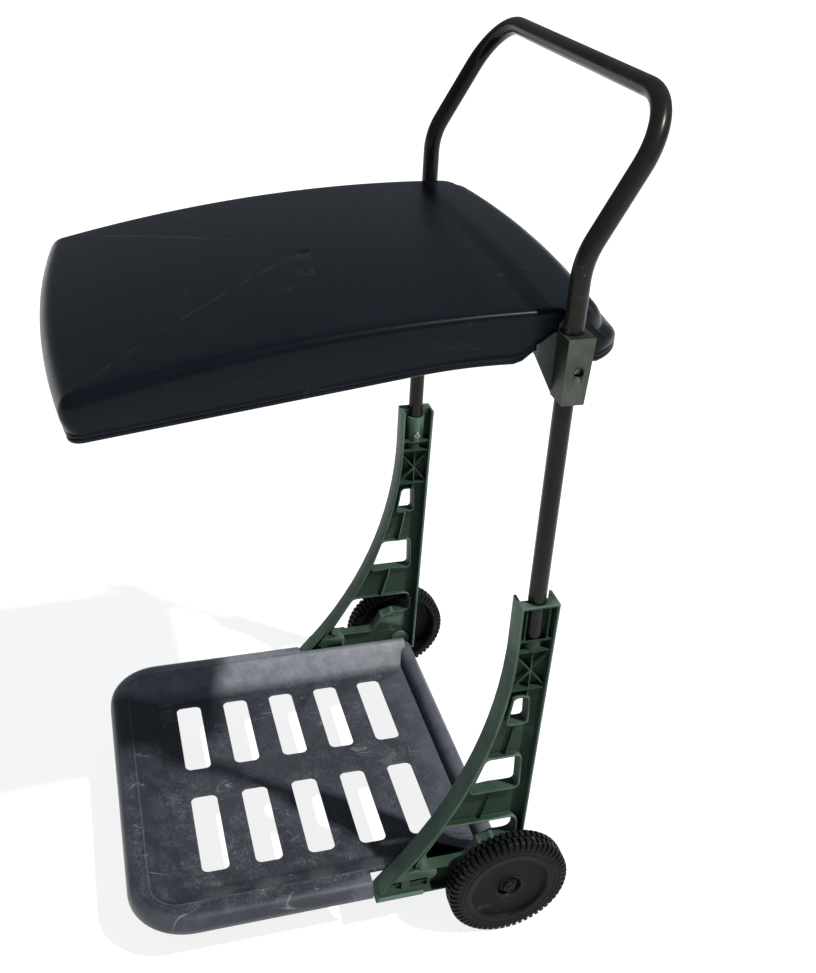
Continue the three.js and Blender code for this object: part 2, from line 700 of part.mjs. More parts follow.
// ---- Clamps, pins and screws ------------------------------------------------------------
const clampOuter = () => {
  const outline = [
    [-CLAMP_HALF, CLAMP_BOTTOM],
    [CLAMP_HALF - 4, CLAMP_BOTTOM],
    [CLAMP_HALF, CLAMP_TOP],
    [-CLAMP_HALF, CLAMP_TOP],
  ];
  const block = prismX(rounded(outline, 1.5), PLATE_OUT + GAP, CLAMP_OUT).translate(0, CLAMP_SHIFT, 0);
  const leg = rodZ(TUBE_R + GAP, CLAMP_BOTTOM - 1, CLAMP_TOP + 1, TUBE_X, 0, 28);
  const mouth = box(PLATE_OUT, TUBE_X, -TUBE_R - GAP, TUBE_R + GAP, CLAMP_BOTTOM - 1, CLAMP_TOP + 1);
  return block
    .subtract(leg)
    .subtract(mouth)
    .subtract(rodX(SCREW_R + GAP, TUBE_X, CLAMP_OUT + 1, SCREW_Y, SCREW_Z, 12))
    .subtract(rodX(SCREW_HEAD_R + GAP, CLAMP_OUT - SCREW_RECESS, CLAMP_OUT + 1, SCREW_Y, SCREW_Z, 20));
};

// The inner plate: a gusset leaning forward to a rest under the seat's rim and an ear round
// the pivot
const clampInner = () => {
  const gusset = [
    [-10, CLAMP_BOTTOM],
    [CLAMP_HALF - 4, CLAMP_BOTTOM],
    [CLAMP_HALF, CLAMP_TOP - 4],
    [-CLAMP_HALF, CLAMP_TOP - 4],
    [REST_Y0, 750],
    [REST_Y0, REST_Z - 5],
  ];
  const plate = prismX(rounded(gusset, 2), PLATE_IN, PLATE_OUT);
  const ear = rodX(EAR_R, PLATE_IN, PLATE_OUT, PIVOT_Y, PIVOT_Z, 28);
  const rest = box(SEAT_HALF - 10, PLATE_OUT - 1, REST_Y0, REST_Y1, REST_Z - 4, REST_Z);
  return join([plate, ear, rest])
    .subtract(rodX(PIVOT_R + RUN, PLATE_IN - 1, PLATE_OUT + 1, PIVOT_Y, PIVOT_Z, 24))
    .subtract(rodX(SCREW_R + GAP, PLATE_IN - 1, PLATE_OUT + 1, SCREW_Y, SCREW_Z, 12));
};

const screw = (headX, tipX, y, z, headR, headLength) => {
  const way = Math.sign(tipX - headX);
  const [a, b] = [headX, headX + way * headLength].sort((p, q) => p - q);
  const [c, d] = [headX, tipX].sort((p, q) => p - q);
  return rodX(headR, a, b, y, z, 16).add(rodX(SCREW_R, c, d, y, z, 10));
};

const clampScrew = () => screw(CLAMP_OUT - SCREW_RECESS + 2.4, PLATE_IN + 0.5, SCREW_Y, SCREW_Z, SCREW_HEAD_R, 2);
const socketScrew = () => screw(FRAME_IN - 1.6, TUBE_X - 2, 0, SOCKET_SCREW_Z, SCREW_HEAD_R, 2.2);
const trayScrew = () => screw(TRAY_SIDE - 6, WEB_OUT - 1, TRAY_SCREW_Y, TRAY_SCREW_Z, SCREW_HEAD_R, 2);

const pivotPin = () =>
  rodX(PIVOT_R, SEAT_HALF - 8, PLATE_OUT - GAP, PIVOT_Y, PIVOT_Z, 20).add(
    rodX(PIVOT_HEAD_R, SEAT_HALF - 9, SEAT_HALF - 6.5, PIVOT_Y, PIVOT_Z, 20),
  );

// ---- Wheels -----------------------------------------------------------------------------
const wheel = () => {
  const at = (x) => WHEEL_IN + x;
  const fromOutside = (depth) => at(WHEEL_W - depth);
  const profile = [
    [AXLE_R + RUN, at(0)],
    [20, at(0)],
    [20, fromOutside(DISH_DEPTH + DISC)],
    [59, fromOutside(DISH_DEPTH + DISC)],
    [63, at(3)],
    [66, at(0)],
    [WHEEL_R - 4, at(0)],
    [WHEEL_R, at(4)],
    [WHEEL_R, fromOutside(5)],
    [WHEEL_R - 3, fromOutside(2)],
    [WHEEL_R - 10, fromOutside(0)],
    [DISH_R + 4, fromOutside(0)],
    [DISH_R, fromOutside(DISH_DEPTH)],
    [HUB_R + 3, fromOutside(DISH_DEPTH)],
    [HUB_R, fromOutside(HUB_DEPTH)],
    [AXLE_R + RUN, fromOutside(HUB_DEPTH)],
    [AXLE_R + RUN, at(0)],
  ];
  const spokes = Array.from({ length: 6 }, (_, i) => {
    const turn = (i * Math.PI) / 3;
    const tip = (r) => [AXLE_Y + r * Math.cos(turn), AXLE_Z + r * Math.sin(turn)];
    return ribX(tip(18), tip(62), 3, at(4), fromOutside(DISH_DEPTH + 1));
  });
  return join([turned(profile, AXLE_Y, AXLE_Z, 48), ...spokes]);
};

const stubAxle = () => rodX(AXLE_R, WEB_IN + 1.5, WHEEL_IN + WHEEL_W - HUB_DEPTH + 5, AXLE_Y, AXLE_Z, 20);

const washer = () => {
  const [x0, x1] = [FRAME_OUT + GAP, WHEEL_IN - GAP];
  const bore = AXLE_R + GAP;
  const profile = [[bore, x0], [12, x0], [12, x1], [bore, x1], [bore, x0]];
  return turned(profile, AXLE_Y, AXLE_Z, 24);
};

// A push-on cap over the axle's end, with a stepped face
const hubCap = () => {
  const x0 = WHEEL_IN + WHEEL_W - HUB_DEPTH + GAP;
  const bore = AXLE_R + 0.1;
  const inside = x0 + 5 + GAP;
  const profile = [
    [bore, x0],
    [11, x0],
    [11, x0 + 3],
    [8, x0 + 4],
    [7.5, x0 + 6.5],
    [6, x0 + 7.5],
    [0, x0 + 7.8],
    [0, inside],
    [bore, inside],
    [bore, x0],
  ];
  return turned(profile, AXLE_Y, AXLE_Z, 28);
};

// ---- Assembly ---------------------------------------------------------------------------
const PAINTS = {
  steel_paint: { color: 0x1f1c1a, roughness: 0.35, metalness: 0.4 },
  green_plastic: { color: 0x2f4a3c, roughness: 0.5, metalness: 0 },
  black_plastic: { color: 0x1b1e24, roughness: 0.45, metalness: 0 },
  zinc_steel: { color: 0x8c8c88, roughness: 0.35, metalness: 1 },
};

const named = (name, solid, paint) => {
  const mesh = new THREE.Mesh(asGeometry(solid), new THREE.MeshStandardMaterial(PAINTS[paint]));
  mesh.name = name;
  return mesh;
};

// Pieces that come in pairs, drawn on the +X side
const PAIRED = {
  side_frame: [sideFrame, "green_plastic"],
  clamp_outer: [clampOuter, "green_plastic"],
  clamp_inner: [clampInner, "green_plastic"],
  clamp_screw: [clampScrew, "zinc_steel"],
  socket_screw: [socketScrew, "zinc_steel"],
  tray_screw: [trayScrew, "zinc_steel"],
  seat_pivot_pin: [pivotPin, "zinc_steel"],
  stub_axle: [stubAxle, "zinc_steel"],
  axle_washer: [washer, "zinc_steel"],
  wheel: [wheel, "black_plastic"],
  hub_cap: [hubCap, "black_plastic"],
};

const pivotHoles = rodX(PIVOT_R + GAP, -SEAT_HALF - 5, SEAT_HALF + 5, PIVOT_Y, PIVOT_Z, 20);

const seatChair = new THREE.Group();
seatChair.add(
  named("handle_tube", handleTube(), "steel_paint"),
  named("tray", tray(), "black_plastic"),
  named("seat_shell", seatShell().subtract(pivotHoles), "black_plastic"),
  named("seat_rim_ring", rimRing(), "black_plastic"),
);
for (const [side, sign] of [["right", 1], ["left", -1]]) {
  const half = new THREE.Group();
  half.scale.x = sign;
  for (const [name, [make, paint]] of Object.entries(PAIRED)) {
    half.add(named(`${name}_${side}`, make(), paint));
  }
  seatChair.add(half);
}

// The origin is on the ground, under the middle of the whole object
seatChair.position.set(0, -(SEAT_FRONT + TOP_Y + TUBE_R) / 2, -GROUND_Z);
const root = new THREE.Group();
root.add(seatChair);

export default root;
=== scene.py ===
"""Looks of the garden kneeler seat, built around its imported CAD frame. Sizes here are in
millimetres in the CAD's own layout and are turned into metres by at()."""

import json
import math

import bmesh
import bpy
from mathutils import Matrix, Vector


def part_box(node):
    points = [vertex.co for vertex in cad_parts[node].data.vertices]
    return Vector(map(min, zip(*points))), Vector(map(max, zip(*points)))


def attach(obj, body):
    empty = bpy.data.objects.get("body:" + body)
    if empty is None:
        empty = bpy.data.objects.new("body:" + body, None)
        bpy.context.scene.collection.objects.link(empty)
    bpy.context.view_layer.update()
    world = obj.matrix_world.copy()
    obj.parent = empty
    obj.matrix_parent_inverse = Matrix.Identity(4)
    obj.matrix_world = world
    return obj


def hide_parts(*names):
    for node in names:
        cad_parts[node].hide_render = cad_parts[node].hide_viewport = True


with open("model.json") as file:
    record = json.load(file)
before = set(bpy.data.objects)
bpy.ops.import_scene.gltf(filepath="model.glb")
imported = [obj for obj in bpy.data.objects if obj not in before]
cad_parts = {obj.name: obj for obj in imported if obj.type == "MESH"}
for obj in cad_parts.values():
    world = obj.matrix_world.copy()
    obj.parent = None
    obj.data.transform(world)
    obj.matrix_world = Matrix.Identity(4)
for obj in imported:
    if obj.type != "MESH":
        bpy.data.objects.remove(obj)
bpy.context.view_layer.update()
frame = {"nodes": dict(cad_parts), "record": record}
HINGES = {j["name"]: j for j in frame["record"]["behaviour"]["joints"]}
PIVOT_Z = 766  # height of the seat's pivot in the CAD's layout, where its y is 0
SHIFT_Y = HINGES["seat_fold"]["pos_m"][1] * 1000
SHIFT_Z = HINGES["seat_fold"]["pos_m"][2] * 1000 - PIVOT_Z


def at(x, y, z):
    """A place in the CAD's layout, in the scene's metres."""
    return Vector((x, y + SHIFT_Y, z + SHIFT_Z)) / 1000


# ---- Camera ----------------------------------------------------------------------------
CAMERA_PLACE = at(1141.286, -444.696, 1173.668)
RIGHT, DOWN, FORWARD = (
    Vector((0.275014, 0.960021, 0.052227)),
    Vector((0.500666, -0.096626, -0.860231)),
    Vector((-0.820793, 0.262724, -0.507223)),
)
camera_data = bpy.data.cameras.new("camera")
camera_data.sensor_fit = "VERTICAL"
camera_data.sensor_height = 36.0
camera_data.lens = 41.774
camera_data.clip_end = 100.0
camera = bpy.data.objects.new("camera", camera_data)
camera_turn = Matrix((RIGHT, -DOWN, -FORWARD)).transposed().to_4x4()
camera.matrix_world = Matrix.Translation(CAMERA_PLACE) @ camera_turn
bpy.context.scene.collection.objects.link(camera)
bpy.context.scene.camera = camera


# ---- Node materials --------------------------------------------------------------------
class Paint:
    """A small wrapper for building a node material."""

    def __init__(self, name):
        self.material = bpy.data.materials.new(name)
        self.material.use_nodes = True
        self.tree = self.material.node_tree
        self.tree.nodes.clear()
        self.output = self.tree.nodes.new("ShaderNodeOutputMaterial")
        self.shader = self.tree.nodes.new("ShaderNodeBsdfPrincipled")
        self.link(self.shader.outputs[0], self.output.inputs[0])
        self.place = self.tree.nodes.new("ShaderNodeTexCoord").outputs["Object"]

    def link(self, out, into):
        self.tree.links.new(out, into)

    def put(self, into, value):
        if hasattr(value, "is_output"):
            self.link(value, into)
        else:
            into.default_value = value

    def node(self, kind, out, **inputs):
        node = self.tree.nodes.new(kind)
        for key, value in inputs.items():
            if key.startswith("set_"):
                setattr(node, key[4:], value)
            else:
                self.put(node.inputs[int(key[1:]) if key[1:].isdigit() else key], value)
        return node.outputs[out]

    def noise(self, scale, detail=3.0, rough=0.55, distort=0.0, place=None):
        return self.node(
            "ShaderNodeTexNoise", 0, Vector=place or self.place, Scale=scale,
            Detail=detail, Roughness=rough, Distortion=distort,
        )

    def stretched(self, scale, turn=(0, 0, 0)):
        return self.node(
            "ShaderNodeMapping", 0, Vector=self.place, Scale=scale, Rotation=turn
        )

    def ramp(self, value, *stops):
        node = self.tree.nodes.new("ShaderNodeValToRGB")
        self.link(value, node.inputs[0])
        ramp = node.color_ramp
        while len(ramp.elements) < len(stops):
            ramp.elements.new(0.5)
        for element, (position, colour) in zip(ramp.elements, stops):
            element.position = position
            grey = isinstance(colour, (int, float))
            element.color = (colour, colour, colour, 1) if grey else (*colour, 1)
        return node.outputs[0]

    def mix(self, factor, a, b, blend="MIX"):
        node = self.tree.nodes.new("ShaderNodeMix")
        node.data_type = "RGBA"
        node.blend_type = blend
        for socket, value in ((0, factor), (6, a), (7, b)):
            if isinstance(value, tuple):
                value = (*value, 1) if len(value) == 3 else value
            self.put(node.inputs[socket], value)
        return node.outputs[2]

    def math(self, kind, a, b=0.5, clamp=False):
        node = self.tree.nodes.new("ShaderNodeMath")
        node.operation = kind
        node.use_clamp = clamp
        self.put(node.inputs[0], a)
        self.put(node.inputs[1], b)
        return node.outputs[0]

    def upward(self):
        """How far a surface faces up, 0 to 1."""
        normal = self.tree.nodes.new("ShaderNodeNewGeometry").outputs["Normal"]
        split = self.node("ShaderNodeSeparateXYZ", 2, Vector=normal)
        return self.math("MAXIMUM", split, 0.0)

    def edges(self, low, high):
        """Bright on convex edges."""
        point = self.tree.nodes.new("ShaderNodeNewGeometry").outputs["Pointiness"]
        return self.ramp(point, (low, 0), (high, 1))

    def bump(self, height, strength, distance, under=None):
        node = self.tree.nodes.new("ShaderNodeBump")
        node.inputs["Strength"].default_value = strength
        node.inputs["Distance"].default_value = distance
        self.link(height, node.inputs["Height"])
        if under is not None:
            self.link(under, node.inputs["Normal"])
        return node.outputs[0]

    def finish(self, colour, roughness, normal=None, metallic=0.0, **more):
        self.put(self.shader.inputs["Base Color"], colour)
        self.put(self.shader.inputs["Roughness"], roughness)
        self.put(self.shader.inputs["Metallic"], metallic)
        if normal is not None:
            self.link(normal, self.shader.inputs["Normal"])
        for key, value in more.items():
            self.put(self.shader.inputs[key.replace("_", " ")], value)
        return self.material


def scratches(paint, scale, width, turn, long=0.12):
    """Thin pale lines: the ridges of a stretched noise."""
    field = paint.noise(scale, 2.0, 0.5, 0.6, paint.stretched((1.0, long, 1.0), turn))
    ridge = paint.math("ABSOLUTE", paint.math("SUBTRACT", field, 0.5))
    return paint.ramp(ridge, (0.0, 1), (width, 0))


def moulded_plastic(
    name, dark, light, rough, grain, dust, wear_and_highlight, scuffs, shine, wear_and_highlight_sharpness=(0.5, 0.58), floor_dust_and_lit_end=None
):
    """Moulded plastic: mottled colour, fine grain, dust on upward faces, scratches, and pale edges that
    are partly wear and partly a painted highlight.

    wear_and_highlight_sharpness is the range of edge sharpness over which the pale edge sets in.
    floor_dust_and_lit_end lays dust on flat upward faces and paints light onto one end of the piece: the
    x where that starts, the x where it is full, and its strength.
    """
    paint = Paint(name)
    cloud = paint.ramp(paint.noise(5.0, 5.0, 0.6), (0.3, 0), (0.7, 1))
    mottle = paint.ramp(paint.noise(60.0, 4.0, 0.65), (0.35, 0), (0.75, 1))
    colour = paint.mix(cloud, dark, light)
    colour = paint.mix(paint.math("MULTIPLY", mottle, 0.35), colour, light)
    upward = paint.math("POWER", paint.upward(), 3.0)
    # Dust: soft patches broken up by a fine speckle
    patches = paint.ramp(paint.noise(7.0, 8.0, 0.7, 0.4), (0.44, 0.1), (0.70, 1))
    smear = paint.ramp(paint.noise(38.0, 6.0, 0.75), (0.45, 0), (0.78, 1))
    powder = paint.ramp(paint.noise(420.0, 3.0, 0.7), (0.44, 0.25), (0.66, 1))
    dusty = paint.math("MULTIPLY", paint.math("MULTIPLY", patches, smear), powder)
    dusty = paint.math("MULTIPLY", paint.math("MULTIPLY", dusty, upward), dust, True)
    colour = paint.mix(dusty, colour, (0.34, 0.37, 0.43))
    if floor_dust_and_lit_end:
        start, full, strength = floor_dust_and_lit_end
        flat = paint.math("MULTIPLY", paint.math("POWER", paint.upward(), 12.0), 0.075)
        colour = paint.mix(paint.math("MULTIPLY", flat, powder), colour, (0.40, 0.43, 0.50))
        # Painted light: towards the far end in x, where the tray's inner wall faces the sun, the colour
        # is painted paler as though lit
        along = paint.node("ShaderNodeSeparateXYZ", 0, Vector=paint.place)
        painted_lit_end = paint.node(
            "ShaderNodeMapRange", 0, i0=along, i1=start, i2=full, i3=0.0, i4=strength
        )
        painted_lit_end = paint.math("MULTIPLY", painted_lit_end, paint.ramp(mottle, (0.0, 0.6), (1.0, 1)))
        colour = paint.mix(painted_lit_end, colour, (0.37, 0.40, 0.46))
    specks = paint.ramp(
        paint.node("ShaderNodeTexVoronoi", 0, Vector=paint.place, Scale=120.0), (0.0, 1), (0.06, 0)
    )
    thin = paint.ramp(paint.noise(14.0, 2.0), (0.54, 0), (0.68, 1))
    specks = paint.math("MULTIPLY", specks, thin)
    colour = paint.mix(
        paint.math("MULTIPLY", specks, min(1.0, dust * 0.5 + 0.05)), colour, (0.6, 0.6, 0.58)
    )
    lines = paint.math(
        "MAXIMUM",
        scratches(paint, 16.0, 0.005, (0.2, 0.1, 0.5), 0.35),
        scratches(paint, 11.0, 0.0035, (0.1, 0.3, 2.1), 0.4),
    )
    broken = paint.ramp(paint.noise(20.0, 4.0), (0.53, 0), (0.66, 1))
    lines = paint.math("MULTIPLY", paint.math("MULTIPLY", lines, broken), scuffs)
    colour = paint.mix(lines, colour, (0.38, 0.39, 0.4))
    # Pale edges: partly real wear and partly a painted highlight where light catches creases, crests and
    # lips
    patchy_marks = paint.ramp(paint.noise(26.0, 4.0, 0.6), (0.3, 0.35), (0.65, 1))
    edge = paint.math("MULTIPLY", paint.math("MULTIPLY", paint.edges(*wear_and_highlight_sharpness), wear_and_highlight), patchy_marks)
    colour = paint.mix(edge, colour, tuple(min(1.0, c * 2.6 + 0.03) for c in light))
    roughness = paint.math("ADD", paint.math("MULTIPLY", cloud, 0.08), rough)
    roughness = paint.math("ADD", roughness, paint.math("MULTIPLY", mottle, 0.05))
    roughness = paint.math("ADD", roughness, paint.math("MULTIPLY", dusty, 0.5), True)
    coarse = paint.bump(paint.noise(11.0, 2.0), 0.12, 0.002)
    fine = paint.bump(paint.noise(grain, 2.0, 0.6), 0.16, 0.0003, coarse)
    return paint.finish(colour, roughness, fine, Specular_IOR_Level=shine)


def painted_tube(name):
    """Glossy dark brown-black paint with orange peel, scuffs and a few chips."""
    paint = Paint(name)
    cloud = paint.ramp(paint.noise(7.0, 4.0), (0.3, 0), (0.7, 1))
    colour = paint.mix(cloud, (0.006, 0.006, 0.006), (0.015, 0.014, 0.012))
    chips = paint.ramp(paint.noise(120.0, 3.0, 0.7), (0.71, 0), (0.735, 1))
    near = paint.ramp(paint.noise(16.0, 2.0), (0.55, 0), (0.66, 1))
    chips = paint.math("MULTIPLY", chips, near)
    colour = paint.mix(chips, colour, (0.16, 0.11, 0.08))
    patchy_marks = scratches(paint, 18.0, 0.008, (0.4, 1.2, 0.3))
    patchy_marks = paint.math("MULTIPLY", patchy_marks, paint.ramp(paint.noise(12.0), (0.5, 0), (0.68, 0.15)))
    colour = paint.mix(patchy_marks, colour, (0.2, 0.18, 0.16))
    roughness = paint.math("ADD", paint.math("MULTIPLY", cloud, 0.1), 0.2)
    roughness = paint.math("ADD", roughness, paint.math("MULTIPLY", patchy_marks, 0.4), True)
    peel = paint.bump(paint.noise(260.0, 2.0), 0.08, 0.0004)
    return paint.finish(colour, roughness, peel, Specular_IOR_Level=0.15)


def zinc(name):
    """Zinc-plated steel, slightly dulled, with turning marks."""
    paint = Paint(name)
    cloud = paint.ramp(paint.noise(60.0, 4.0), (0.3, 0), (0.7, 1))
    colour = paint.mix(cloud, (0.20, 0.19, 0.17), (0.34, 0.33, 0.31))
    rust = paint.ramp(paint.noise(140.0, 5.0, 0.7), (0.6, 0), (0.72, 0.6))
    colour = paint.mix(rust, colour, (0.12, 0.06, 0.03))
    rings = paint.noise(900.0, 1.0, 0.5, 0.0, paint.stretched((1.0, 0.05, 0.05)))
    roughness = paint.math("ADD", paint.math("MULTIPLY", cloud, 0.15), 0.3)
    return paint.finish(colour, roughness, paint.bump(rings, 0.1, 0.0002), 0.9)


def pale_floor(name):
    paint = Paint(name)
    cloud = paint.ramp(paint.noise(0.6, 3.0), (0.3, (0.33, 0.33, 0.33)), (0.7, (0.37, 0.37, 0.37)))
    return paint.finish(
        cloud, 0.9, paint.bump(paint.noise(300.0), 0.05, 0.0005),
        Emission_Color=(1.0, 1.0, 1.0, 1), Emission_Strength=0.84,
    )


# Seat plastic: its pale edge mark is a painted highlight along the crease of the seat's top
SEAT = moulded_plastic(
    "seat_plastic", (0.0022, 0.0040, 0.0066), (0.0044, 0.0070, 0.0106), rough=0.25, grain=900.0,
    dust=0.015, wear_and_highlight=0.35, scuffs=0.03, shine=0.10, wear_and_highlight_sharpness=(0.53, 0.6),
)
# Tray plastic: its pale edge mark is partly wear and partly a painted highlight on the rim's crest, and
# its far end is painted paler as though sunlit
TRAY = moulded_plastic(
    "tray_plastic", (0.0090, 0.0105, 0.0150), (0.0235, 0.0265, 0.0360), rough=0.30, grain=700.0,
    dust=0.8, wear_and_highlight=1.0, scuffs=0.6, shine=0.25, wear_and_highlight_sharpness=(0.512, 0.545), floor_dust_and_lit_end=(-0.165, -0.19, 0.5),
)
# Green plastic: its pale edge mark is partly wear and partly a painted highlight on the lips and flanges
GREEN = moulded_plastic(
    "green_plastic", (0.0140, 0.0290, 0.0195), (0.0240, 0.0450, 0.0320), rough=0.42, grain=800.0,
    dust=0.1, wear_and_highlight=1.3, scuffs=0.1, shine=0.09, wear_and_highlight_sharpness=(0.51, 0.56),
)
# A darker copy of the green plastic: painted shade for the clamps under the seat; its pale edge mark is
# partly wear and partly a painted highlight
SHADED_CLAMP_GREEN = moulded_plastic(
    "clamp_plastic_painted_shade", (0.0085, 0.0125, 0.0090), (0.0145, 0.0200, 0.0150), rough=0.38, grain=800.0,
    dust=0.1, wear_and_highlight=1.2, scuffs=0.1, shine=0.12, wear_and_highlight_sharpness=(0.51, 0.56),
)
CHARCOAL = moulded_plastic(
    "wheel_plastic", (0.0025, 0.0028, 0.0032), (0.0050, 0.0054, 0.0060), rough=0.40, grain=700.0,
    dust=0.12, wear_and_highlight=0.5, scuffs=0.2, shine=0.07,
)
TUBE = painted_tube("tube_paint")
ZINC = zinc("zinc_steel")


# ---- Meshes ----------------------------------------------------------------------------
def mesh_piece(name, points, faces, smooth_deg=35.0):
    mesh = bpy.data.meshes.new(name)
    mesh.from_pydata([tuple(p) for p in points], [], faces)
    mesh.validate()
    bm = bmesh.new()
    bm.from_mesh(mesh)
    bmesh.ops.remove_doubles(bm, verts=bm.verts, dist=1e-6)
    bmesh.ops.recalc_face_normals(bm, faces=bm.faces)
    bm.to_mesh(mesh)
    bm.free()
    return finish_mesh(name, mesh, smooth_deg)


def finish_mesh(name, mesh, smooth_deg):
    mesh.polygons.foreach_set("use_smooth", [True] * len(mesh.polygons))
    mesh.set_sharp_from_angle(angle=math.radians(smooth_deg))
    piece = bpy.data.objects.new(name, mesh)
    bpy.context.scene.collection.objects.link(piece)
    return piece


def hold(piece, body, slot, material, *nodes):
    """Gives a piece its material and body, and lets it stand for CAD nodes."""
    piece.data.materials.clear()
    piece.data.materials.append(material)
    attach(piece, body)
    if nodes:
        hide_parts(*nodes)
    return piece


def tube_faces(rings, count, loop=False):
    """Quads between consecutive rings of count points; a loop joins the last to the first."""
    faces = []
    spans = rings if loop else rings - 1
    for r in range(spans):
        after = (r + 1) % rings
        for i in range(count):
            j = (i + 1) % count
            faces.append((r * count + i, r * count + j, after * count + j, after * count + i))
    return faces


def lathe(name, profile, axis_y, axis_z, steps):
    """A profile of (radius, x) turned about X; it starts and ends on the axis or closes."""
    closed = profile[0] == profile[-1]
    outline = profile[:-1] if closed else profile
    points = [
        at(x, axis_y + r * math.cos(a), axis_z + r * math.sin(a))
        for r, x in outline
        for a in (2 * math.pi * i / steps for i in range(steps))
    ]
    return mesh_piece(name, points, tube_faces(len(outline), steps, closed), 30)


def merged(name, pieces, smooth_deg):
    """Several meshes as one piece."""
    bm = bmesh.new()
    for piece in pieces:
        bm.from_mesh(piece.data)
        bpy.data.objects.remove(piece)
    mesh = bpy.data.meshes.new(name)
    bm.to_mesh(mesh)
    bm.free()
    return finish_mesh(name, mesh, smooth_deg)


def mirrored(piece, name):
    """A copy on the other side of the middle."""
    mesh = piece.data.copy()
    mesh.transform(Matrix.Diagonal((-1, 1, 1, 1)))
    mesh.flip_normals()
    return finish_mesh(name, mesh, 35.0)


def refined(node, name, width):
    """A CAD node's shape with its edges rounded."""
    bm = bmesh.new()
    bm.from_mesh(frame["nodes"][node].data)
    bmesh.ops.remove_doubles(bm, verts=bm.verts, dist=2e-6)
    bmesh.ops.dissolve_limit(
        bm, angle_limit=math.radians(1.5), verts=bm.verts, edges=bm.edges
    )
    sharp = [
        e for e in bm.edges
        if e.is_manifold and e.calc_face_angle(0) > math.radians(28)
        and e.calc_length() > width * 0.002
    ]
    bmesh.ops.bevel(
        bm, geom=sharp, offset=width / 1000, segments=2, profile=0.5,
        affect="EDGES", clamp_overlap=False,
    )
    mesh = bpy.data.meshes.new(name)
    bm.to_mesh(mesh)
    bm.free()
    return finish_mesh(name, mesh, 35)


def carved(piece, cutter, name, smooth_deg):
    """The piece with the cutter taken out of it; both are used up."""
    cut = piece.modifiers.new("cut", "BOOLEAN")
    cut.operation, cut.object, cut.solver, cut.use_self = "DIFFERENCE", cutter, "EXACT", True
    bpy.context.view_layer.update()
    evaluated = piece.evaluated_get(bpy.context.evaluated_depsgraph_get())
    mesh = bpy.data.meshes.new_from_object(evaluated)
    bpy.data.objects.remove(piece)
    bpy.data.objects.remove(cutter)
    return finish_mesh(name, mesh, smooth_deg)


ON_AXIS = 0.01  # radius of a profile's ends on the axis


def rod_profile(radius, x0, x1, edge):
    """A solid rod with rounded ends."""
    return [
        (ON_AXIS, x0), (radius - edge, x0), (radius - edge * 0.3, x0 + edge * 0.3),
        (radius, x0 + edge), (radius, x1 - edge), (radius - edge * 0.3, x1 - edge * 0.3),
        (radius - edge, x1), (ON_AXIS, x1),
    ]


# ---- Handle ----------------------------------------------------------------------------
TUBE_R, TUBE_WALL, TUBE_X = 10.0, 1.5, 235.0
KNEE_Z, KNEE_R = 837, 80  # where the legs lean back
TOP_X, TOP_Y, TOP_Z, TOP_R = 230, 77, 975, 66  # the crossbar's corners


def bend(before, corner, after, radius, steps):
    """Points of a bend of that radius where a path turns at a corner."""
    back, on = (before - corner).normalized(), (after - corner).normalized()
    half = back.angle(on) / 2
    centre = corner + (back + on).normalized() * (radius / math.sin(half))
    start = corner + back * (radius / math.tan(half)) - centre
    axis = on.cross(back).normalized()
    turn = math.pi - 2 * half
    return [centre + Matrix.Rotation(turn * i / steps, 3, axis) @ start for i in range(steps + 1)]


def handle():
    foot_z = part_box("handle_tube")[0].z * 1000 - SHIFT_Z
    foot, knee = Vector((TUBE_X, 0, foot_z)), Vector((TUBE_X, 0, KNEE_Z))
    top, middle = Vector((TOP_X, TOP_Y, TOP_Z)), Vector((0, TOP_Y, TOP_Z))
    half = [foot, foot + Vector((0, 0, 4))]
    half += bend(foot, knee, top, KNEE_R, 14) + bend(knee, top, middle, TOP_R, 26)
    path = half + [Vector((-p.x, p.y, p.z)) for p in reversed(half)]
    count = 48
    side = Vector((1, 0, 0))
    outer, inner = [], []
    for i, p in enumerate(path):
        tangent = (path[min(i + 1, len(path) - 1)] - path[max(i - 1, 0)]).normalized()
        side = (side - tangent * side.dot(tangent)).normalized()
        up = tangent.cross(side)
        for ring, radius in ((outer, TUBE_R), (inner, TUBE_R - TUBE_WALL)):
            ring.append([
                at(*(p + (side * math.cos(a) + up * math.sin(a)) * radius))
                for a in (2 * math.pi * k / count for k in range(count))
            ])
    rings = outer + inner[::-1]
    points = [p for ring in rings for p in ring]
    return mesh_piece("handle", points, tube_faces(len(rings), count, True), 40)


hold(handle(), "cart", "painted_steel", TUBE, "handle_tube")

# ---- Seat ------------------------------------------------------------------------------
SEAT_HALF, SEAT_SKIN = 221.4, 3.0
RING_H, GAP = 5.0, 0.3
RIM = dict(
    half=SEAT_HALF, front=-468.0, rear=69.0, bow=15.0, rear_bow=6.0, front_r=15.0, rear_r=44.0
)
CREASE = dict(
    half=SEAT_HALF, front=-474.0, rear=48.0, bow=13.0, rear_bow=9.0, front_r=15.0, rear_r=33.0
)
SEAT_MIDDLE_Y = -205
CROWN_Z, CROWN_Y, CROWN_FALL, CROWN_RISE = 783.5, -19, 2.8e-4, 5.3
SIDE_Z, SIDE_SLOPE = 744.5, 0.135  # the rim's bottom along the sides
SAG_Y, SAG = -150, 7.9e-4
ARCH_Y, ARCH_RISE, ARCH_TOP_Z = -52, 40, 748.7  # the arch over the clamps
REAR_RUN, REAR_Z, REAR_SLOPE = 36, 726, 0.17  # the rim behind the legs
FLAT_SIDE_Y = -70  # the seat's sides are flat from here to the rear
DIMPLE_X, DIMPLE_Y = 15.0, -218.0  # moulding mark in the top of the seat
DIMPLE_R, DIMPLE_DEPTH = 30.0, 0.9


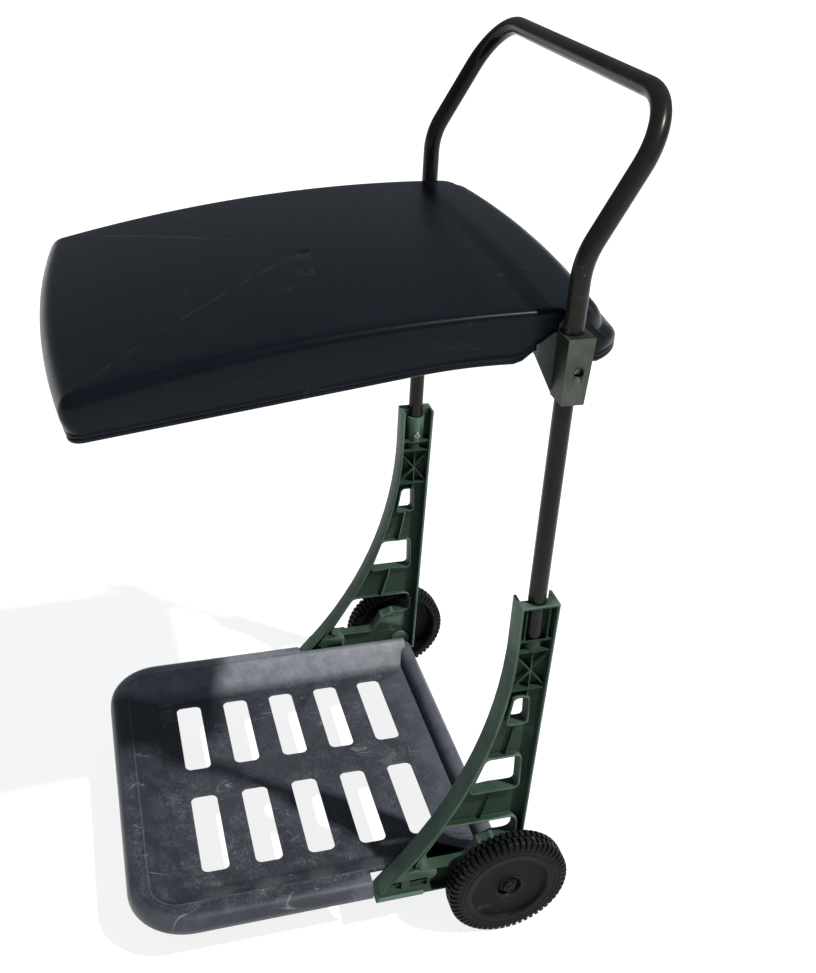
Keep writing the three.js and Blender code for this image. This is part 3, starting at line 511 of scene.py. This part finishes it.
def crown_z(x, y):
    """The seat's top: it falls away to the front and to both sides."""
    return CROWN_Z - CROWN_FALL * (y - CROWN_Y) ** 2 + CROWN_RISE * (1 - (x / SEAT_HALF) ** 2)


def rim_z(y):
    """Bottom of the rim: it flattens out, arches over the clamps and comes down behind them."""
    if y > REAR_RUN:
        return REAR_Z + REAR_SLOPE * (y - REAR_RUN)
    along = min(y, 0)
    fall = (ARCH_TOP_Z - REAR_Z) * math.sin(math.pi / 2 * max(y, 0) / REAR_RUN) ** 2
    sag = SAG * max(along - SAG_Y, 0) ** 2
    arch = ARCH_RISE * math.cos(math.pi / 2 * along / ARCH_Y) ** 2 if along > ARCH_Y else 0
    return min(SIDE_Z + SIDE_SLOPE * along - sag + arch, ARCH_TOP_Z) - fall


def rearness(y):
    """From 0 by the legs to 1 at the rear end."""
    share = min(1.0, max(0.0, (y - 8) / 32))
    return share * share * (3 - 2 * share)


def seat_outline(half, front, rear, bow, rear_bow, front_r, rear_r):
    """Plan of the seat, clockwise seen from above: straight sides, bowed ends, round corners."""
    points = []

    def arc(cx, cy, radius, start, end, steps):
        for i in range(steps + 1):
            turn = math.radians(start + (end - start) * i / steps)
            points.append((cx + radius * math.cos(turn), cy + radius * math.sin(turn)))

    side_front, side_rear, stations = front + front_r, rear - rear_r, 44
    sides = [
        side_rear + (side_front - side_rear) * ((i + 1) / (stations + 1)) ** 1.3
        for i in range(stations)
    ]
    reach = half - front_r
    arc(half - rear_r, side_rear, rear_r, 90, 0, 12)
    points += [(half, y) for y in sides]
    arc(reach, side_front, front_r, 0, -90, 8)
    for i in range(1, 32):
        x = reach * (1 - i / 16)
        points.append((x, front - bow * (1 - (x / reach) ** 2)))
    arc(-reach, side_front, front_r, -90, -180, 8)
    points += [(-half, y) for y in reversed(sides)]
    arc(rear_r - half, side_rear, rear_r, 180, 90, 12)
    reach = half - rear_r
    for i in range(1, 24):
        x = reach * (i / 12 - 1)
        points.append((x, rear + rear_bow * (1 - (x / reach) ** 2)))
    return points


def moved_in(points, d):
    """The outline offset inwards by d, or by d(y)."""
    moved = []
    for i, (x, y) in enumerate(points):
        px, py = points[i - 1]
        nx, ny = points[(i + 1) % len(points)]
        a, b = Vector((x - px, y - py)).normalized(), Vector((nx - x, ny - y)).normalized()
        reach = (d(y) if callable(d) else d) / (1 + a.dot(b))
        moved.append((x + (a.y + b.y) * reach, y - (a.x + b.x) * reach))
    return moved


RIM_PLAN, CREASE_PLAN = seat_outline(**RIM), seat_outline(**CREASE)


def rim_ring(d, lift):
    """The rim's outline, d further in and lifted off its bottom."""
    return [
        Vector((x, y, rim_z(rim_y) + lift))
        for (x, y), (_, rim_y) in zip(moved_in(RIM_PLAN, d), RIM_PLAN)
    ]


def shrunk_onto(edge, share, drop=0.0):
    """The edge drawn in towards the seat's middle, at a drop below the crown."""
    ring = [Vector((x * share, SEAT_MIDDLE_Y + (y - SEAT_MIDDLE_Y) * share, 0)) for x, y in edge]
    for p in ring:
        p.z = crown_z(p.x, p.y) - drop
    return ring


def crease_radius(y):
    """The edges are crisp by the legs, softer towards the front and round at the rear."""
    forward = min(1.0, max(0.0, (40 - y) / 520))
    return 5.0 + 11.0 * forward ** 1.6 + 21.0 * rearness(y)


def swelling(y):
    """How far the sides swell: at the front, more at the rear, not by the legs."""
    return min(1, max(0, (FLAT_SIDE_Y - y) / 90)) + 4 * rearness(y)


def seat_skin():
    """Rings of the seat's outside, from the bottom of its edge up over the crease to its top."""
    bottom = RING_H + GAP
    rings = [
        rim_ring(0.0, bottom), rim_ring(-0.4, bottom + 0.7), rim_ring(-0.4, bottom + 2.6),
        rim_ring(0.3, bottom + 3.6),
    ]
    low = rings[-1]
    shoulder = [Vector((x, y, crown_z(x, y) - crease_radius(y))) for x, y in CREASE_PLAN]
    for t in (0.12, 0.3, 0.5, 0.7, 0.88, 1.0):
        ring = [p.lerp(q, t) for p, q in zip(low, shoulder)]
        swell = 1.5 * math.sin(math.pi * t)
        plan = moved_in([(p.x, p.y) for p in ring], lambda y: -swell * swelling(y))
        # The flat sides keep clear of the clamps when the seat folds
        rings.append([
            Vector((max(-SEAT_HALF, min(SEAT_HALF, x)) if y > FLAT_SIDE_Y else x, y, p.z))
            for (x, y), p in zip(plan, ring)
        ])
    for step in range(1, 8):
        turn = math.pi / 2 * step / 7
        plan = moved_in(CREASE_PLAN, lambda y: crease_radius(y) * (1 - math.cos(turn)))
        rings.append([
            Vector((x, y, crown_z(x, y) - crease_radius(crease_y) * (1 - math.sin(turn))))
            for (x, y), (_, crease_y) in zip(plan, CREASE_PLAN)
        ])
    edge = [(p.x, p.y) for p in rings[-1]]
    rings += [shrunk_onto(edge, k) for k in (0.94, 0.86, 0.76, 0.65, 0.53, 0.41, 0.29, 0.18, 0.08)]
    return rings


def capped(rings):
    """Points and faces of a skin whose first and last rings close onto a middle point."""
    count = len(rings[0])
    points = [at(*p) for ring in rings for p in ring]
    faces = tube_faces(len(rings), count)
    for ring, offset in ((rings[0], 0), (rings[-1], (len(rings) - 1) * count)):
        middle = sum(ring, Vector()) / count
        points.append(at(*middle))
        faces += [(len(points) - 1, offset + i, offset + (i + 1) % count) for i in range(count)]
    return points, faces


def seat():
    """The seat's shell, open below, with a small moulding mark in its top."""
    outside = seat_skin()
    inside = [rim_ring(SEAT_SKIN, RING_H + GAP)]
    inside += [
        [Vector((x, y, crown_z(x, y) - drop - 4 * rearness(y))) for x, y in moved_in(CREASE_PLAN, d)]
        for d, drop in ((4, 14), (5.5, 7), (9, 4), (14, 3.4))
    ]
    edge = [(p.x, p.y) for p in inside[-1]]
    inside += [shrunk_onto(edge, k, SEAT_SKIN) for k in (0.86, 0.6, 0.3, 0.08)]
    points, faces = capped(inside[::-1] + outside)
    shell = mesh_piece("shell", points, faces)
    ball = bmesh.new()
    bmesh.ops.create_uvsphere(ball, u_segments=64, v_segments=64, radius=DIMPLE_R / 1000)
    mesh = bpy.data.meshes.new("ball")
    ball_z = crown_z(DIMPLE_X, DIMPLE_Y) + DIMPLE_R - DIMPLE_DEPTH
    bmesh.ops.translate(ball, vec=at(DIMPLE_X, DIMPLE_Y, ball_z), verts=ball.verts)
    ball.to_mesh(mesh)
    ball.free()
    return carved(shell, finish_mesh("ball", mesh, 30), "seat_shell_skin", 50)


def seat_ring():
    section = [
        rim_ring(7.0, 7.0), rim_ring(7.0, 0.4), rim_ring(6.6, 0.0), rim_ring(0.9, 0.0),
        rim_ring(0.1, 0.8), rim_ring(-0.5, 2.2), rim_ring(-0.4, 3.8), rim_ring(0.1, 4.6),
        rim_ring(0.6, 5.0), rim_ring(3.6, 5.0), rim_ring(4.9, 7.0),
    ]
    points = [at(*p) for ring in section for p in ring]
    faces = tube_faces(len(section), len(section[0]), True)
    return mesh_piece("seat_rim_trim", points, faces, 50)


hold(seat(), "seat", "black_plastic", SEAT, "seat_shell")
hold(seat_ring(), "seat", "black_plastic", SEAT, "seat_rim_ring")

# ---- Tray ------------------------------------------------------------------------------
TRAY_HALF, TRAY_FRONT, TRAY_SIDE = 242.0, -460.0, 219.0
FLOOR_Z, SHEET = 30.0, 3.0
BAR_R, BAR_Y, BAR_Z = 12.0, -2.0, 33.0
SLOT_W, SLOT_L, SLOT_R = 34.5, 129.0, 8.0
SLOT_IN, SLOT_PITCH, SLOT_FIRST, SLOT_ROWS = 25.5, 68.0, -367.0, 5
RIM_END_Y = -169  # the rim stops here, where the side frames begin
SPIGOT_R, SPIGOT_END, SPIGOT_Z = 5, 232, 39
TABS = ((-146, -136), (-125, -103))  # locating tabs, as ranges of y
TAB_END, TAB_LOW, TAB_HIGH = 243, 44, 47.5
FOOT_X, FOOT_HALF, FOOT_FRONT, FOOT_REAR, FOOT_LOW, FOOT_HIGH = 115, 18, -406, -378, -35, 28


def tray_ring(inset, front_extra, z, radius):
    """An outline of the tray, moved in from its sides and front, with round front corners."""
    half, front, rear = TRAY_HALF - inset, TRAY_FRONT + inset + front_extra, BAR_Y + 4
    points = [Vector((half, rear - (rear - front - radius) * i / 12, z)) for i in range(12)]
    for side in (1, -1):
        for i in range(15):
            turn = math.radians(90 * (i if side > 0 else 14 - i) / 14)
            points.append(Vector((
                side * (half - radius + radius * math.cos(turn)),
                front + radius - radius * math.sin(turn), z,
            )))
    points += [Vector((-half, rear - (rear - front - radius) * i / 12, z)) for i in range(11, -1, -1)]
    return points


# Profile of the rolled rim and wall, from outside to the floor: inset, extra at the front,
# height and corner radius
TRAY_TOP = [
    (0.6, 0, 29.0, 75), (0.0, 0, 30.0, 75), (0.4, 0, 36.0, 74), (1.2, 0, 41.0, 72), (2.8, 0, 45.0, 69),
    (5.6, 0, 48.2, 65), (9.6, 0, 50.4, 59), (14.5, 0, 51.4, 53), (20.0, 0, 51.9, 45),
    (24.5, 0, 52.0, 39), (25.6, 0, 52.7, 36), (27.0, 0, 52.6, 35), (28.4, 0.3, 51.0, 34),
    (32.0, 1.0, 48.2, 32), (44.0, 3.0, 41.4, 26), (56.0, 5.0, 34.6, 21), (60.5, 5.6, 31.9, 19),
    (63.0, 5.8, 30.5, 18), (66.5, 6.0, 30.0, 17),
]


def prism(outline, z0, z1):
    """Points and faces of an upright prism."""
    count = len(outline)
    points = [at(x, y, z) for z in (z0, z1) for x, y in outline]
    faces = tube_faces(2, count) + [tuple(range(count)), tuple(range(2 * count - 1, count - 1, -1))]
    return points, faces


def rounded_box(x0, x1, y0, y1, radius, steps=6):
    points = []
    for cx, cy, start in (
        (x1 - radius, y1 - radius, 0), (x0 + radius, y1 - radius, 90),
        (x0 + radius, y0 + radius, 180), (x1 - radius, y0 + radius, 270),
    ):
        for i in range(steps + 1):
            turn = math.radians(start + 90 * i / steps)
            points.append((cx + radius * math.cos(turn), cy + radius * math.sin(turn)))
    return points


def block(x0, x1, y0, y1, z0, z1):
    return prism([(x0, y0), (x1, y0), (x1, y1), (x0, y1)], z0, z1)


def gathered(name, shapes):
    """Several closed shapes as one mesh."""
    points, faces = [], []
    for some_points, some_faces in shapes:
        faces += [tuple(i + len(points) for i in face) for face in some_faces]
        points += some_points
    return mesh_piece(name, points, faces)


def tray_slots():
    return [
        rounded_box(x0, x0 + SLOT_L, y0, y0 + SLOT_W, SLOT_R)
        for y0 in (SLOT_FIRST + row * SLOT_PITCH for row in range(SLOT_ROWS))
        for x0 in (SLOT_IN, -SLOT_IN - SLOT_L)
    ]


def tray_dish():
    """The tray's sheet, with its slots, cut back at the side frames and at the rear bar."""
    top = [tray_ring(*row) for row in TRAY_TOP]
    under = []
    for n, (inset, extra, z, radius) in enumerate(TRAY_TOP):
        if n in (1, 10, 18):  # too close to the next ring for the underside
            continue
        rise = 1.5 if inset < 3 else 0
        low = z if n == 0 else z - SHEET + rise
        under.append(tray_ring(inset + 2.6, extra, low, max(radius - 2, 6)))
    points, faces = capped([tray_ring(68.5, 6.0, FLOOR_Z - SHEET, 15)] + under[::-1] + top)
    dish = mesh_piece("dish", points, faces)
    far, behind, above = 300, 60, 100  # past the tray
    sides = [
        block(TRAY_SIDE, far, RIM_END_Y, behind, 0, above),
        block(-far, -TRAY_SIDE, RIM_END_Y, behind, 0, above),
    ]
    sides += [prism(outline, 10, 45) for outline in tray_slots()]
    dish = carved(dish, gathered("cutter", sides), "dish", 40)
    rear = [block(-far, far, BAR_Y, behind, 0, above)]
    piece = carved(dish, gathered("cutter", rear), "tray_dish", 40)
    bm = bmesh.new()
    bm.from_mesh(piece.data)
    # The edges of the slots are rounded
    last = SLOT_FIRST + (SLOT_ROWS - 1) * SLOT_PITCH + SLOT_W
    low, high = at(-160, SLOT_FIRST - 2, 26), at(160, last + 2, 31)
    rims = [
        e for e in bm.edges
        if e.is_manifold and e.calc_face_angle(0) > math.radians(60)
        and all(low[k] < v.co[k] < high[k] for v in e.verts for k in range(3))
    ]
    bmesh.ops.bevel(
        bm, geom=rims, offset=0.0011, segments=3, profile=0.5, affect="EDGES", clamp_overlap=False
    )
    bm.to_mesh(piece.data)
    bm.free()
    return piece


def tray():
    bar = rod_profile(BAR_R, -TRAY_SIDE, TRAY_SIDE, 1.2)
    whole = [tray_dish(), lathe("bar", bar, BAR_Y, BAR_Z, 48)]
    for side in (-1, 1):
        ends = sorted((side * (TRAY_SIDE - 3), side * SPIGOT_END))
        whole.append(lathe("spigot", rod_profile(SPIGOT_R, *ends, 0.5), BAR_Y, SPIGOT_Z, 24))
        for y0, y1 in TABS:
            ends = sorted((side * (TRAY_SIDE - 8), side * TAB_END))
            whole.append(gathered("tab", [block(*ends, y0 + 1, y1 - 1, TAB_LOW, TAB_HIGH)]))
        middle = side * FOOT_X
        outline = rounded_box(middle - FOOT_HALF, middle + FOOT_HALF, FOOT_FRONT, FOOT_REAR, 6)
        whole.append(gathered("foot", [prism(outline, FOOT_LOW, FOOT_HIGH)]))
    return merged("tray_moulding", whole, 40)


hold(tray(), "cart", "black_plastic", TRAY, "tray")

# ---- Side frames and clamps ------------------------------------------------------------
for side in ("right", "left"):
    for node, stem, rounding, material in (
        ("side_frame", "frame", 0.9, GREEN),
        ("clamp_outer", "clamp_block", 0.9, SHADED_CLAMP_GREEN),
        ("clamp_inner", "clamp_plate", 0.4, SHADED_CLAMP_GREEN),
    ):
        piece = refined(f"{node}_{side}", f"{stem}_{side}", rounding)
        hold(piece, "cart", "green_plastic", material, f"{node}_{side}")

# ---- Wheels ----------------------------------------------------------------------------
WHEEL_IN, WHEEL_OUT = 250.2, 278.2
AXLE_Y, AXLE_Z = -4.0, 42.0
LUGS = 58


def wheel():
    """The right-hand wheel, with its tread."""
    a, b = WHEEL_IN, WHEEL_OUT
    # Each point: radius, x, depth of the groove there, lug row (0 or 1)
    profile = [
        (5.08, a + 0.5, 0, 0), (5.6, a, 0, 0), (19.4, a, 0, 0), (20, a + 0.6, 0, 0),
        (20, b - 8.5, 0, 0), (59, b - 8.5, 0, 0), (62.4, a + 4, 0, 0), (63.6, a + 1.2, 0, 0),
        (65.5, a, 0, 0), (68.5, a, 0.5, 0), (72.5, a + 0.8, 2.2, 0), (75.4, a + 2.4, 2.8, 0),
        (76.7, a + 4.2, 2.8, 0), (77, a + 6.5, 2.8, 0), (77, a + 12.6, 2.8, 0),
        (76.6, a + 13.0, 2.5, 0), (73.6, a + 13.3, 0, 0), (73.6, a + 14.7, 0, 1),
        (76.6, a + 15.0, 2.5, 1), (77, a + 15.4, 2.8, 1), (77, b - 6.5, 2.8, 1),
        (76.7, b - 4.2, 2.8, 1), (75.4, b - 2.4, 2.8, 1), (72.5, b - 0.8, 2.4, 1),
        (69, b - 0.1, 1.4, 1), (66.6, b, 0.4, 1), (65.6, b, 0, 1), (65.0, b - 0.5, 0, 1),
        (63.2, b - 0.5, 0, 1), (62.6, b - 0.1, 0, 1), (60.2, b - 0.1, 0, 1), (59.6, b - 0.5, 0, 1),
        (58.2, b - 0.5, 0, 1), (57.6, b - 0.1, 0, 1), (51.5, b - 0.1, 0, 1), (50.2, b - 0.5, 0, 1),
        (49.0, b - 1.8, 0, 1), (47.6, b - 4.0, 0, 1), (46.4, b - 4.8, 0, 1), (44.6, b - 5.0, 0, 1),
        (20.0, b - 5.4, 0, 1), (18.2, b - 5.2, 0, 1), (17.0, b - 4.4, 0, 1), (16.2, b - 4.6, 0, 1),
        (15.2, b - 6.2, 0, 1), (14.4, b - 9.2, 0, 1), (13.6, b - 10, 0, 1), (5.6, b - 10, 0, 1),
        (5.08, b - 10.5, 0, 1),
    ]
    # Corners of a groove and of the lug after it, as shares of the pitch
    marks = [[0.0, 0.08, 0.44, 0.52], [0.5, 0.58, 0.94, 0.02]]
    stops = sorted({m for row in marks for m in row})
    steps = [(lug + stop) / LUGS for lug in range(LUGS) for stop in stops]
    points = []
    for radius, x, depth, row in profile:
        for step in steps:
            share = (step * LUGS + (0.0 if row == 0 else 0.5)) % 1.0
            cut = depth if 0.04 < share < 0.48 else 0.0
            lean = 0.45 * cut * (1 if x < (a + b) / 2 else -1) if radius < 76.5 and cut else 0.0
            r, turn = radius - cut, 2 * math.pi * step
            points.append(at(x + lean, AXLE_Y + r * math.cos(turn), AXLE_Z + r * math.sin(turn)))
    return mesh_piece("wheel_right_tyre", points, tube_faces(len(profile), len(steps), True), 30)


def hub_cap():
    x = WHEEL_OUT - 9.7
    profile = [
        (5.1, x), (10.6, x), (11, x + 0.4), (11, x + 2.4), (10.4, x + 3.0), (8.6, x + 3.4),
        (8.0, x + 4.0), (7.7, x + 6.0), (7.2, x + 6.9), (6.2, x + 7.3), (4.6, x + 7.3), (4.0, x + 6.9),
        (3.2, x + 6.9), (2.4, x + 7.6), (ON_AXIS, x + 7.9), (ON_AXIS, x + 5.3), (5.1, x + 5.3), (5.1, x),
    ]
    return lathe("hub_cap_right_face", profile, AXLE_Y, AXLE_Z, 48)


def pair(piece, stem, body, slot, material, node):
    """A right-hand piece and its mirror image on the left."""
    other = mirrored(piece, f"{stem}_left")
    left, right = (f"{body}_left", f"{body}_right") if body == "wheel" else (body, body)
    hold(piece, right, slot, material, f"{node}_right")
    hold(other, left, slot, material, f"{node}_left")


pair(wheel(), "wheel_tyre", "wheel", "wheel_plastic", CHARCOAL, "wheel")
pair(hub_cap(), "hub_cap_face", "cart", "wheel_plastic", CHARCOAL, "hub_cap")
pair(
    lathe("axle_right", rod_profile(5, 234.5, WHEEL_OUT - 5, 0.6), AXLE_Y, AXLE_Z, 40),
    "axle", "cart", "zinc_steel", ZINC, "stub_axle",
)
washer = [
    (5.3, 248.3), (11.7, 248.3), (12, 248.6), (12, 249.6), (11.7, 249.9), (5.3, 249.9),
    (5.3, 248.3),
]
pair(
    lathe("washer_right", washer, AXLE_Y, AXLE_Z, 48),
    "washer", "cart", "zinc_steel", ZINC, "axle_washer",
)


# ---- Screws and pins -------------------------------------------------------------------
SCREW_R, THREAD_ROOT, THREAD_PITCH = 2.5, 2.0, 1.2
HEAD_R, RECESS_HALF = 4.5, 0.55


def screw(name, head, tip, y, z, head_length):
    """A pan-head screw along X with a cross recess and a grooved shank."""
    way = 1 if tip > head else -1
    profile = [
        (ON_AXIS, head), (HEAD_R * 0.6, head + way * 0.1), (HEAD_R * 0.9, head + way * 0.6),
        (HEAD_R, head + way * 1.1), (HEAD_R, head + way * head_length),
        (SCREW_R, head + way * head_length),
    ]
    x = head + way * (head_length + 1.5)
    while abs(tip - x) > 2.2:
        profile += [(SCREW_R, x), (THREAD_ROOT, x + way * 0.4), (SCREW_R, x + way * 0.8)]
        x += way * THREAD_PITCH
    profile += [(THREAD_ROOT, tip - way * 1.6), (ON_AXIS, tip)]
    body = lathe("screw", profile, y, z, 32)
    inner, outer = sorted((head - way, head + way * 1.3))
    arm = HEAD_R * 0.62
    for wide, tall, label in ((arm, RECESS_HALF, "half_cut"), (RECESS_HALF, arm, name)):
        cutter = gathered("cross", [block(inner, outer, y - wide, y + wide, z - tall, z + tall)])
        body = carved(body, cutter, label, 30)
    return body


for node, head, tip, y, z, head_length in (
    ("clamp_screw", 248.9, 222.9, 3, 731, 2.0),
    ("socket_screw", 218.4, 232.8, 0, 416, 2.2),
    ("tray_screw", 213.1, 235.3, -131, 38, 2.0),
):
    piece = screw(f"{node}_right_head", head, tip, y, z, head_length)
    pair(piece, f"{node}_head", "cart", "zinc_steel", ZINC, node)
pin = [
    (ON_AXIS, 212.4), (4.4, 212.4), (5.0, 213.0), (5.0, 214.9), (3.5, 214.9), (3.5, 223.9),
    (3.0, 224.4), (ON_AXIS, 224.4),
]
pair(
    lathe("pivot_pin_right", pin, 0, PIVOT_Z, 36),
    "pivot_pin", "seat", "zinc_steel", ZINC, "seat_pivot_pin",
)

# ---- Floor and light -------------------------------------------------------------------
floor = mesh_piece(
    "floor",
    [(-20, -20, 0), (20, -20, 0), (20, 20, 0), (-20, 20, 0)],
    [(0, 1, 2, 3)],
)
floor.data.materials.append(pale_floor("floor_paint"))

SKY_COLOUR, SKY_STRENGTH = (0.80, 0.88, 1.0, 1), 0.25
SUN_FROM = (42, 53, 100)  # direction towards the sun
world = bpy.data.worlds.new("studio")
bpy.context.scene.world = world
world.use_nodes = True
sky = world.node_tree.nodes["Background"]
sky.inputs["Color"].default_value = SKY_COLOUR
sky.inputs["Strength"].default_value = SKY_STRENGTH

key = bpy.data.lights.new("key", "SUN")
key.energy = 4.2
key.angle = math.radians(2.2)
key.color = (1.0, 0.97, 0.92)
key_object = bpy.data.objects.new("key", key)
key_object.rotation_euler = Vector(SUN_FROM).to_track_quat("Z", "Y").to_euler()
bpy.context.scene.collection.objects.link(key_object)
bpy.context.scene.view_settings.view_transform = "Standard"
